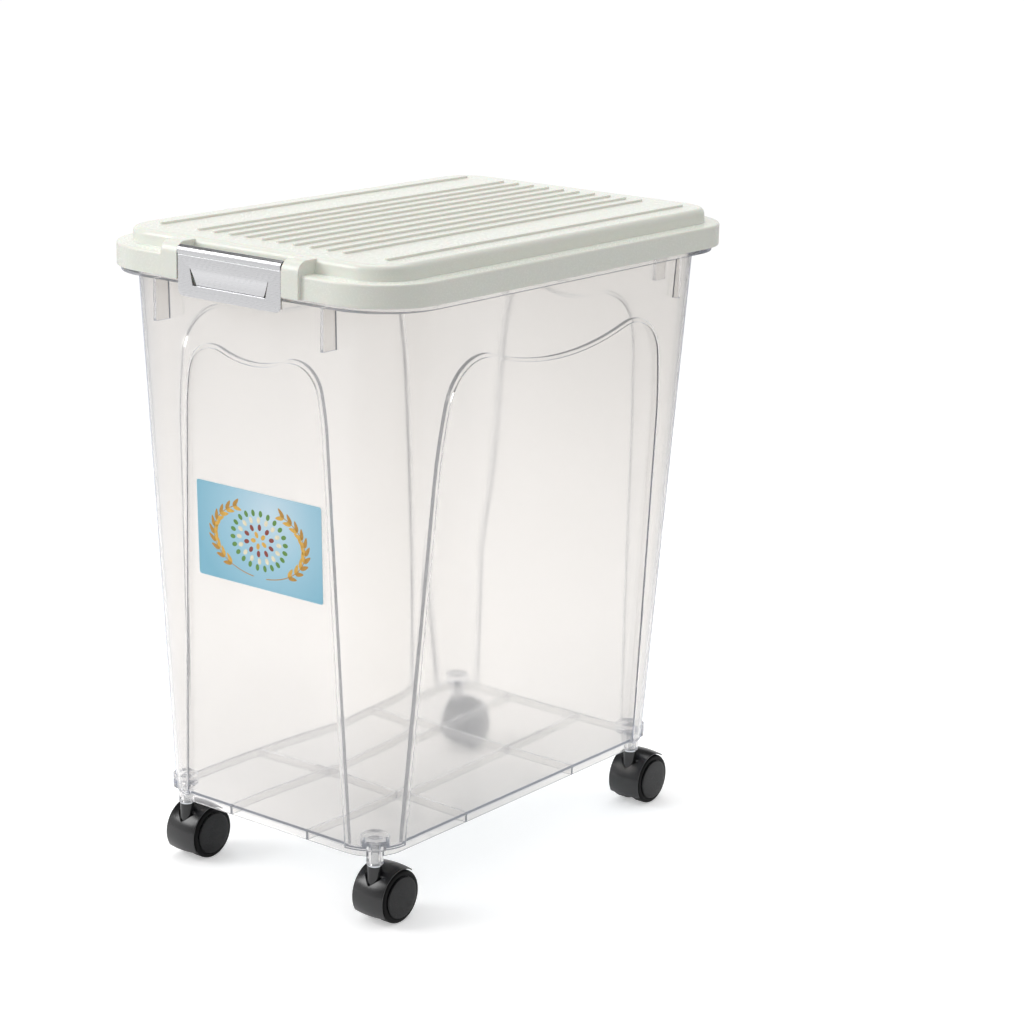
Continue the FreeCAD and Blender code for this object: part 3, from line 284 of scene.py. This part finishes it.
clear_pp, tree, shader = new_finish(
    "clear_moulded_polypropylene", Base_Color=linear("#FDFAF6"), Roughness=0.06, IOR=1.49,
    Transmission_Weight=0.92,
)
tree.links.new(ranged(tree, noise(tree, POLISH_SPACING), *POLISH), shader.inputs["Roughness"])
haze = add_node(tree, "ShaderNodeBsdfDiffuse", {"Color": linear("#C0C9DE")}).outputs[0]
grazing = add_node(tree, "ShaderNodeLayerWeight", {"Blend": 0.5}).outputs["Facing"]
share = ranged(tree, grazing, *HAZE, HAZE_START)
milky = add_node(tree, "ShaderNodeMixShader", {0: share, 1: shader.outputs[0], 2: haze}).outputs[0]
shadow = add_node(tree, "ShaderNodeLightPath").outputs["Is Shadow Ray"]
clear = add_node(tree, "ShaderNodeBsdfTransparent", {"Color": linear("#F2F4F5")}).outputs[0]
wall = add_node(tree, "ShaderNodeMixShader", {0: shadow, 1: milky, 2: clear}).outputs[0]
thick = add_node(tree, "ShaderNodeVolumeAbsorption", {"Color": linear("#A9B8D6"), "Density": ABSORPTION})
result = tree.nodes["Material Output"]
tree.links.new(wall, result.inputs["Surface"])
tree.links.new(thick.outputs[0], result.inputs["Volume"])
print("finish:", clear_pp.name)

# %% [markdown]
# The lid is coloured polypropylene with a fine satin grain from the tool. The grain is too fine to model,
# so it is a noise that shifts the height, the gloss and a trace of the colour together. Moulded edges are
# never sharp. They could be rounded in the mesh, but the frame's meshes stay as they are, so the finish
# softens the light over each edge.

# %% Ivory polypropylene
GRAIN_TONES, GRAIN_GLOSS = (0.992, 1.008), (0.92, 1.08)
EDGE_SAMPLES = 8


def vary(tree, shader, pattern, tones, gloss):
    """Let a pattern shift the shader's colour between two tones of it, and its roughness between two values."""
    colour = shader.inputs["Base Color"].default_value[:3]
    dark, light = ([min(v * factor, 1) for v in colour] + [1] for factor in tones)
    tone = add_node(tree, "ShaderNodeMix", {"Factor": pattern, "A": dark, "B": light}, data_type="RGBA")
    tree.links.new(tone.outputs["Result"], shader.inputs["Base Color"])
    tree.links.new(ranged(tree, pattern, *gloss), shader.inputs["Roughness"])


def raise_up(tree, shader, pattern, depth_mm, strength, **inputs):
    """Let a pattern bump the shader's surface."""
    inputs.update({"Height": pattern, "Distance": depth_mm * MM, "Strength": strength})
    bump = add_node(tree, "ShaderNodeBump", inputs)
    tree.links.new(bump.outputs["Normal"], shader.inputs["Normal"])


def grained(name, spacing_mm, depth_mm, strength, edge_mm, **inputs):
    """A finish with a fine grain, over edges that look rounded by edge."""
    finish, tree, shader = new_finish(name, **inputs)
    grain = noise(tree, spacing_mm)
    vary(tree, shader, grain, GRAIN_TONES, [share * inputs["Roughness"] for share in GRAIN_GLOSS])
    edge = add_node(tree, "ShaderNodeBevel", {"Radius": edge_mm * MM}, samples=EDGE_SAMPLES)
    raise_up(tree, shader, grain, depth_mm, strength, Normal=edge.outputs["Normal"])
    print("finish:", name)
    return finish


ivory_pp = grained(
    "ivory_moulded_polypropylene", spacing_mm=0.8, depth_mm=0.01, strength=0.25, edge_mm=0.8,
    Base_Color=linear("#EAECE3"), Roughness=0.27, IOR=1.49, Subsurface_Weight=0.15, Subsurface_Scale=4 * MM,
)

# %% [markdown]
# The latch face is stainless sheet, brushed along its length. An anisotropic shader could stretch its
# gloss, but the brushing is coarse enough to be seen, so a noise drawn out along the sheet does it.

# %% Brushed steel
BRUSHING = (18, 900, 1600)  # hills in a metre along X, Y and Z

brushed_steel, tree, shader = new_finish(
    "brushed_stainless_sheet", Base_Color=linear("#CBCBCD"), Metallic=1.0, Roughness=0.27,
)
place = add_node(tree, "ShaderNodeTexCoord").outputs["Object"]
stretched = add_node(tree, "ShaderNodeMapping", {"Vector": place, "Scale": BRUSHING}).outputs[0]
lines = add_node(
    tree, "ShaderNodeTexNoise", {"Vector": stretched, "Scale": 1.0, "Detail": 3.0},
).outputs["Fac"]
vary(tree, shader, lines, tones=(0.97, 1.02), gloss=(0.2, 0.36))
raise_up(tree, shader, lines, depth_mm=0.003, strength=0.2)
print("finish:", brushed_steel.name)

# %% [markdown]
# The rods are zinc plated, the seal is silicone, and the casters are black nylon, glossy on the hood and
# dull on the tread. They are small and take the same kind of grain as the lid, each with its own colour,
# gloss and spacing.

# %% Plated rod, silicone and nylon
plated_rod = grained(
    "zinc_plated_rod", spacing_mm=0.8, depth_mm=0.01, strength=0.3, edge_mm=0.3,
    Base_Color=linear("#C9CCD0"), Metallic=1.0, Roughness=0.22,
)
seal_silicone = grained(
    "moulded_silicone", spacing_mm=1.0, depth_mm=0.01, strength=0.3, edge_mm=0.3,
    Base_Color=linear("#E7E6DF"), Roughness=0.5, IOR=1.41,
)
hood_nylon = grained(
    "black_moulded_nylon", spacing_mm=0.7, depth_mm=0.02, strength=0.35, edge_mm=0.5,
    Base_Color=linear("#101012"), Roughness=0.25, IOR=1.53, Specular_IOR_Level=0.6,
)
wheel_nylon = grained(
    "black_tread_nylon", spacing_mm=0.7, depth_mm=0.02, strength=0.35, edge_mm=0.5,
    Base_Color=linear("#050506"), Roughness=0.45, IOR=1.53, Specular_IOR_Level=0.12,
)

# %% [markdown]
# Every node of the frame gets its finish by the start of its name, so that the four casters share their
# entries. The nodes that finer pieces stand for later get one too, though it is hidden.

# %% Finish each node of the frame
FINISHES = {
    "bin_body": clear_pp, "front_label": seal_silicone, "lid_shell": ivory_pp, "lid_seal": seal_silicone,
    "latch_plate": brushed_steel, "latch_core": ivory_pp, "latch_pin": plated_rod,
    "hinge_pin": plated_rod, "caster_hood": hood_nylon, "caster_stem": plated_rod,
    "caster_axle": plated_rod, "wheel": wheel_nylon,
}
for name, node in frame["nodes"].items():
    start = max((key for key in FINISHES if name.startswith(key)), key=len)
    node.data.materials.clear()
    node.data.materials.append(FINISHES[start])
print("finished:", len(frame["nodes"]), "nodes with", len(set(FINISHES.values())), "finishes")

# %% [markdown]
# Four kinds of node are shown by pieces that are made here: the tub, whose shading is mended, and the label
# with its print, the pressed steel face of the latch and the wheels, which are finer than the solids. The
# nodes could be changed instead, but they are the construction and stay as they are. Each piece moves with
# its node's body.

# %% Stand for a node
def stand_for(node, bm, finishes, place=None):
    """Turn a bmesh into a piece that is shown in the node's stead."""
    mesh = bpy.data.meshes.new(node + "_shown")
    bm.to_mesh(mesh)
    bm.free()
    for finish in finishes:
        mesh.materials.append(finish)
    piece = bpy.data.objects.new(node + "_shown", mesh)
    piece.matrix_world = place or Matrix()
    bpy.context.collection.objects.link(piece)
    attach(piece, body_of(frame["nodes"][node])[0])
    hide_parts(node)
    print("piece:", piece.name, "with", len(mesh.polygons), "faces")
    return piece


# %% [markdown]
# Clear walls show every fault of a normal, because light bends at it. The frame's tub has its vertices on
# the true surface, but its corners are cut into uneven triangles whose normals wander by a degree or two.
# The tub could be modelled anew, but only its normals need mending: the shown tub is a copy of that mesh in
# which each corner's normals come from the cone that the corner really is, a round corner whose centre and
# radius change evenly from the foot to the rim.

# %% Tub with true corner normals
FOOT_Z, RIM_Z, TUB_MIDDLE_Y = 62 * MM, 491.5 * MM, -6 * MM
FOOT_HALF, FOOT_ROUND = Vector((113 * MM, 182 * MM)), 33 * MM
RIM_HALF, RIM_ROUND = Vector((140.5 * MM, 197.7 * MM)), 46 * MM
NEAR_EDGE, LARGEST_FAULT = 0.6 * MM, math.radians(4)

tall = RIM_Z - FOOT_Z
centre_foot = FOOT_HALF - Vector((FOOT_ROUND, FOOT_ROUND))
centre_rim = RIM_HALF - Vector((RIM_ROUND, RIM_ROUND))
centre_slope = (centre_rim - centre_foot) / tall
round_slope = (RIM_ROUND - FOOT_ROUND) / tall

bm = bmesh.new()
tub_mesh = frame["nodes"]["bin_body"].data
bm.from_mesh(tub_mesh)
normals = []
mended = 0
for loop, corner_normal in zip(tub_mesh.loops, tub_mesh.corner_normals):
    normal = corner_normal.vector.copy()
    x, y, z = tub_mesh.vertices[loop.vertex_index].co
    side = Vector((math.copysign(1, x), math.copysign(1, y - TUB_MIDDLE_Y)))
    centre = centre_foot + centre_slope * (z - FOOT_Z)
    out = Vector((abs(x), abs(y - TUB_MIDDLE_Y))) - centre
    if min(out) > -NEAR_EDGE and max(out) > 0:
        out = Vector((max(out.x, 0), max(out.y, 0))).normalized()
        sink = centre_slope.dot(out) + round_slope
        cone = Vector((out.x * side.x, out.y * side.y, -sink)).normalized()
        for true_normal in (cone, -cone):
            if normal.angle(true_normal, math.pi) < LARGEST_FAULT:
                normal = true_normal
                mended += 1
    normals.append(normal)
tub = stand_for("bin_body", bm, [clear_pp])
tub.data.normals_split_custom_set(normals)
print("tub:", mended, "of", len(normals), "normals taken from the corners' cones")

# %% [markdown]
# The label is a coated paper with a sky that is light in the middle, printed with a few inks. A picture
# could carry the whole print, but a picture has a fixed sharpness. So the sky is a ramp of colour by the
# distance from its brightest spot, and each ink is a finish of its own that is a little uneven, as print
# is.

# %% Paper and inks
SKY_CENTRE, SKY_REACH = (12 * MM, 22 * MM, 0), 80 * MM
SKY = ("#CBE2EF", "#A2CDE0", "#7FB9CF")
INKS = {"straw": "#C08D35", "gold": "#E2B04A", "cream": "#F3E6C8", "leaf": "#5F8F3D", "russet": "#8E3B2C"}
FIBRE_SPACING, INK_SPACING = 0.6, 2.5

label_sky, tree, shader = new_finish("coated_label_paper", Roughness=0.3, IOR=1.5)
place = add_node(tree, "ShaderNodeTexCoord").outputs["Object"]
away = add_node(
    tree, "ShaderNodeVectorMath", {0: place, 1: SKY_CENTRE}, operation="DISTANCE",
).outputs["Value"]
ramp = add_node(tree, "ShaderNodeValToRGB", {"Fac": ranged(tree, away, 0.0, 1.0, 0.0, SKY_REACH)})
stops = ramp.color_ramp.elements
stops.new(0.5)
for stop, colour in zip(stops, SKY):
    stop.color = linear(colour)
tree.links.new(ramp.outputs["Color"], shader.inputs["Base Color"])
fibres = noise(tree, FIBRE_SPACING)
tree.links.new(ranged(tree, fibres, 0.26, 0.34), shader.inputs["Roughness"])
raise_up(tree, shader, fibres, depth_mm=0.004, strength=0.2)

print_finishes = [label_sky]
for name, colour in INKS.items():
    ink, tree, shader = new_finish("printed_ink_" + name, Base_Color=linear(colour), Roughness=0.32)
    vary(tree, shader, noise(tree, INK_SPACING), tones=(0.72, 1.2), gloss=(0.27, 0.37))
    print_finishes.append(ink)
INK = {name: index + 1 for index, name in enumerate(INKS)}
print("finish:", label_sky.name, "and", len(INKS), "inks")

# %% [markdown]
# The sheet lies on the sloping front wall. It is drawn flat, round its own middle, and then leaned as far
# as its node leans, because a flat drawing is the easiest to print on. Every printed shape is a thin face
# just above the sheet, so its outline stays sharp at any size.

# %% Label sheet
LABEL_WIDE, LABEL_HIGH, LABEL_THICK, LABEL_ROUND = 125 * MM, 74.5 * MM, 0.3 * MM, 2 * MM
PRINT_ROOM, PRINT_LIFT, PRINT_OVER = 0.06 * MM, 0.03 * MM, 0.01 * MM

low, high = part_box("front_label")
lean = math.asin((high.y - low.y - LABEL_THICK) / LABEL_HIGH)
wall_up = Vector((0, -math.sin(lean), math.cos(lean)))
wall_out = Vector((1, 0, 0)).cross(wall_up)
label_place = Matrix((Vector((1, 0, 0)), wall_up, wall_out)).transposed().to_4x4()
label_place = Matrix.Translation((low + high) / 2) @ label_place


def round_corners(half_x, half_y, radius, steps=6):
    """The outline of a rectangle with round corners, against the clock."""
    points = []
    for quarter, (sx, sy) in enumerate(((1, 1), (-1, 1), (-1, -1), (1, -1))):
        for step in range(steps + 1):
            angle = math.pi / 2 * (quarter + step / steps)
            points.append((sx * (half_x - radius) + radius * math.cos(angle),
                           sy * (half_y - radius) + radius * math.sin(angle)))
    return points


def print_shape(bm, outline, ink, height):
    """Add a flat face with an ink at a height over the middle of the sheet."""
    face = bm.faces.new([bm.verts.new((x, y, height)) for x, y in outline])
    face.material_index = ink
    return face


bm = bmesh.new()
sheet_top = LABEL_THICK / 2 - PRINT_ROOM
print_top = sheet_top + PRINT_LIFT
face = print_shape(bm, round_corners(LABEL_WIDE / 2, LABEL_HIGH / 2, LABEL_ROUND), 0, sheet_top)
edge = bmesh.ops.extrude_face_region(bm, geom=[face])["geom"]
for vert in (item for item in edge if isinstance(item, bmesh.types.BMVert)):
    vert.co.z = -LABEL_THICK / 2
print("sheet: leaning", round(math.degrees(lean), 2), "degrees")

# %% [markdown]
# The print is a plain design of its own: a wreath of two ears of wheat, and rings of coloured kernels
# inside it. A stem is a curve cut into short straight pieces, and a grain is an ellipse, which the ears
# draw out at one end.

# %% Wheat wreath
WREATH_X, WREATH_Y, WREATH_DROP = 46 * MM, 28 * MM, 1 * MM
STEM_START, STEM_STEP, STEM_POINTS, STEM_HALF = -82, 6, 25, 0.35 * MM
GRAINS_AT = range(5, 24, 2)
GRAIN_LEAN, GRAIN_OUT, GRAIN_POINT = math.radians(30), 4.6 * MM, 0.35
GRAIN_LONG, GRAIN_WIDE = 8.6 * MM, 3.3 * MM


def kernel(middle, length, width, angle, point=0.0, steps=14):
    """A grain's outline: an ellipse, drawn out at one end by point."""
    outline = []
    for step in range(steps):
        turn = 2 * math.pi * step / steps
        x = length / 2 * math.cos(turn)
        y = width / 2 * math.sin(turn) * (1 - point * math.cos(turn))
        outline.append((middle[0] + x * math.cos(angle) - y * math.sin(angle),
                        middle[1] + x * math.sin(angle) + y * math.cos(angle)))
    return outline


for side in (-1, 1):
    stem = []
    for step in range(STEM_POINTS):
        angle = math.radians(STEM_START + STEM_STEP * step)
        stem.append(Vector((side * WREATH_X * math.cos(angle), WREATH_Y * math.sin(angle) - WREATH_DROP)))
    for start, end in zip(stem, stem[1:]):
        along = (end - start).normalized() * STEM_HALF
        aside = Vector((-along.y, along.x))
        outline = [start - aside, end - aside, end + aside, start + aside]
        print_shape(bm, outline, INK["straw"], print_top)
    for index in GRAINS_AT:
        along = (stem[index + 1] - stem[index]).normalized()
        for lean_side in (-1, 1):
            angle = math.atan2(along.y, along.x) + lean_side * GRAIN_LEAN
            middle = stem[index] + Vector((math.cos(angle), math.sin(angle))) * GRAIN_OUT
            ink = INK["gold"] if lean_side * side > 0 else INK["straw"]
            outline = kernel(middle, GRAIN_LONG, GRAIN_WIDE, angle, GRAIN_POINT)
            print_shape(bm, outline, ink, print_top + PRINT_OVER)
print("wreath:", 4 * len(GRAINS_AT), "grains")

# %% Rings of kernels
RING_STRETCH = 1.25
KERNEL_LONG, KERNEL_WIDE = 5.2 * MM, 3.5 * MM
RINGS = (
    # radius in millimetres, kernels, ink, turn in parts of a kernel's share
    (4.6, 5, "gold", 0.6), (10.4, 10, "russet", 0.4), (16.0, 16, "cream", 0.0), (21.2, 22, "leaf", 0.2),
)
for radius, count, ink, shift in RINGS:
    for index in range(count):
        angle = 2 * math.pi * (index + shift) / count
        middle = Vector((RING_STRETCH * math.cos(angle), math.sin(angle))) * radius * MM
        print_shape(bm, kernel(middle, KERNEL_LONG, KERNEL_WIDE, angle), INK[ink], print_top)
stand_for("front_label", bm, print_finishes, label_place)

# %% [markdown]
# The latch face is one sheet of steel, 0.8 mm thick: curled round the pin at the top, stepped back a little
# under the curl, and flat below. A block with cuts would have to be thinned everywhere, so the sheet is
# built as its outer skin instead, a row of faces down from the curl and then a flat face with round corners
# at the foot and a hole for the finger pull.

# %% Latch sheet
CURL, STEP_BACK, FOOT_CORNER = 4 * MM, 0.5 * MM, 5 * MM
CURL_STEPS, CORNER_STEPS = 18, 6
GROOVE_TOP, GROOVE_FOOT, GROOVE_END, GROOVE_DEEP = 2.4 * MM, 2.5 * MM, 3.1 * MM, 1.2 * MM
PULL_TOP, PULL_FOOT, PULL_RISE, PULL_HIGH = 38 * MM, 33 * MM, 8.6 * MM, 12.5 * MM
SLIT_TOP, SLIT_FOOT = 0.3 * MM, 2.6 * MM

low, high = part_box("latch_plate")
pin_y, pin_z = low.y + CURL, high.z - CURL
flat_y = low.y + STEP_BACK
curl = [math.pi * step / CURL_STEPS for step in range(CURL_STEPS + 1)]
rows = [(pin_y + CURL * math.cos(a), pin_z + CURL * math.sin(a)) for a in curl]
rows += [
    (low.y, pin_z - GROOVE_TOP), (low.y + GROOVE_DEEP, pin_z - GROOVE_FOOT), (flat_y, pin_z - GROOVE_END),
]

bm = bmesh.new()
strip = [[bm.verts.new((x, y, z)) for x in (low.x, high.x)] for y, z in rows]
for upper, lower in zip(strip, strip[1:]):
    bm.faces.new((upper[0], upper[1], lower[1], lower[0]))
foot = []
for side in (1, -1):
    arc = [math.pi / 2 * step / CORNER_STEPS for step in range(CORNER_STEPS + 1)]
    corner = [(side * (high.x - FOOT_CORNER + FOOT_CORNER * math.cos(a)),
               low.z + FOOT_CORNER - FOOT_CORNER * math.sin(a)) for a in arc]
    foot += corner if side > 0 else corner[::-1]
outer = [strip[-1][1]] + [bm.verts.new((x, flat_y, z)) for x, z in foot] + [strip[-1][0]]
pull_foot_z = low.z + PULL_RISE
pull_top_z = low.z + PULL_RISE + PULL_HIGH
hole = [bm.verts.new((x, flat_y, z)) for x, z in (
    (-PULL_TOP, pull_top_z), (PULL_TOP, pull_top_z), (PULL_TOP + SLIT_TOP, pull_top_z),
    (PULL_FOOT + SLIT_FOOT, pull_foot_z), (-PULL_FOOT - SLIT_FOOT, pull_foot_z),
    (-PULL_TOP - SLIT_TOP, pull_top_z),
)]
edges = []
for loop in (outer, hole):
    for first, second in zip(loop, loop[1:] + loop[:1]):
        edges.append(bm.edges.get((first, second)) or bm.edges.new((first, second)))
bmesh.ops.triangle_fill(bm, use_beauty=True, edges=edges, normal=(0, -1, 0))
print("sheet:", len(bm.faces), "faces")

# %% [markdown]
# The finger pull is a tongue of the same sheet, cut free on three sides and leaning in from its top edge,
# with a small shelf bent in below it. Both hang on edges of the hole, so that the sheet stays in one piece.

# %% Finger pull
PULL_LEAN, PULL_STEPS, PULL_GAP = 1.3 * MM, 5, 0.5 * MM
SHELF_DEEP, SHELF_RISE = 2.2 * MM, 0.5 * MM

above = hole[:2]
for step in range(1, PULL_STEPS + 1):
    part = step / PULL_STEPS
    half = PULL_TOP + (PULL_FOOT - PULL_TOP) * part
    y = flat_y + PULL_LEAN * math.sin(part * math.pi / 2)
    z = pull_top_z - (PULL_HIGH - PULL_GAP) * part
    below = [bm.verts.new((side * half, y, z)) for side in (-1, 1)]
    bm.faces.new((above[0], above[1], below[1], below[0]))
    above = below
shelf_half, shelf_y, shelf_z = PULL_FOOT + SLIT_FOOT, flat_y + SHELF_DEEP, pull_foot_z + SHELF_RISE
shelf = [bm.verts.new((side * shelf_half, shelf_y, shelf_z)) for side in (1, -1)]
bm.faces.new((hole[3], hole[4], shelf[1], shelf[0]))
bm.normal_update()
for face in bm.faces:
    middle = face.calc_center_median()
    outward = Vector((0, middle.y - pin_y, max(middle.z - pin_z, 0)))
    if face.normal.dot(outward) < 0:
        face.normal_flip()
    face.smooth = True
plate = stand_for("latch_plate", bm, [brushed_steel])

# %% [markdown]
# Modifiers turn the skin into sheet: one gives it thickness inwards, one breaks the cut edges, and one
# shades the flats evenly. They could be modelled too, but a modifier keeps the one number that matters, the
# thickness, in one place.

# %% Latch thickness
SHEET, CUT_EDGE, SHARP_FROM, EVEN_SHADE = 0.8 * MM, 0.14 * MM, math.radians(45), 80

sheet = plate.modifiers.new("sheet", "SOLIDIFY")
sheet.thickness = SHEET
sheet.offset = -1
edge = plate.modifiers.new("cut_edge", "BEVEL")
edge.width = CUT_EDGE
edge.segments = 1
edge.limit_method = "ANGLE"
edge.angle_limit = SHARP_FROM
plate.modifiers.new("even_shade", "WEIGHTED_NORMAL").weight = EVEN_SHADE
print("latch:", [modifier.name for modifier in plate.modifiers])

# %% [markdown]
# A wheel is a turned shape: a black tread with round shoulders, a narrow groove, and a satin disc that
# stands proud of it and is slightly domed. It could be put together from cylinders, but one outline turned
# round the axle holds every rounding. It gives the right-hand wheel, and the left-hand wheel is its mirror
# image.

# %% Wheel outline
QUARTER = (0.4, 0.8, 1.2, 1.57)
DISC_EDGE = 16.9
INNER_FACE = 3.1

# Millimetres along the axle and out from it, from the bore to the middle of the disc.
wheel_profile = [(INNER_FACE, 2.2), (INNER_FACE, 18.6)]
wheel_profile += [(5.5 - 2.4 * math.cos(a), 18.6 + 2.4 * math.sin(a)) for a in QUARTER]
wheel_profile += [(12.6 + 2.2 * math.sin(a), 18.8 + 2.2 * math.cos(a)) for a in (0, *QUARTER)]
wheel_profile += [(14.8, 17.3), (14.1, 17.0), (14.1, 16.6), (15.3, 16.5)]
wheel_profile += [(15.3 + 0.9 * math.sin(a), 15.6 + 0.9 * math.cos(a)) for a in QUARTER]
wheel_profile += [(16.3, 11.0), (16.4, 6.0), (16.45, 2.0)]
disc_nylon = grained(
    "grey_disc_nylon", spacing_mm=0.7, depth_mm=0.02, strength=0.3, edge_mm=0.3,
    Base_Color=linear("#0C0C0E"), Roughness=0.27, IOR=1.53, Specular_IOR_Level=0.28,
)
print("wheel outline:", len(wheel_profile), "points")

# %% Turned wheels
WHEEL_SHARP_FROM = math.radians(40)


def turned(profile_mm, side, steps=72):
    """An outline of places along the axle and radii, turned round the axle; side is 1 or -1."""
    bm = bmesh.new()
    angles = [2 * math.pi * step / steps for step in range(steps)]
    rings = []
    for along, radius in profile_mm:
        x, r = side * along * MM, radius * MM
        rings.append([bm.verts.new((x, r * math.cos(a), r * math.sin(a))) for a in angles])
    for (_, radius), first, second in zip(profile_mm[1:], rings, rings[1:]):
        for step in range(steps):
            following = (step + 1) % steps
            face = bm.faces.new((first[step], first[following], second[following], second[step]))
            face.material_index = int(radius < DISC_EDGE)
            face.smooth = True
    for ring in (rings[0], rings[-1]):
        bm.faces.new(ring).material_index = int(ring is rings[-1])
    bmesh.ops.recalc_face_normals(bm, faces=bm.faces)
    return bm


for tag in ("fl", "fr", "bl", "br"):
    for side, hand in ((-1, "left"), (1, "right")):
        node = "wheel_" + hand + "_" + tag
        low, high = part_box(node)
        inner = low.x if side > 0 else high.x
        middle = (low + high) / 2
        place = Matrix.Translation((inner - side * INNER_FACE * MM, middle.y, middle.z))
        wheel = stand_for(
            node, turned(wheel_profile, side), [wheel_nylon, disc_nylon], place,
        )
        wheel.data.set_sharp_from_angle(angle=WHEEL_SHARP_FROM)
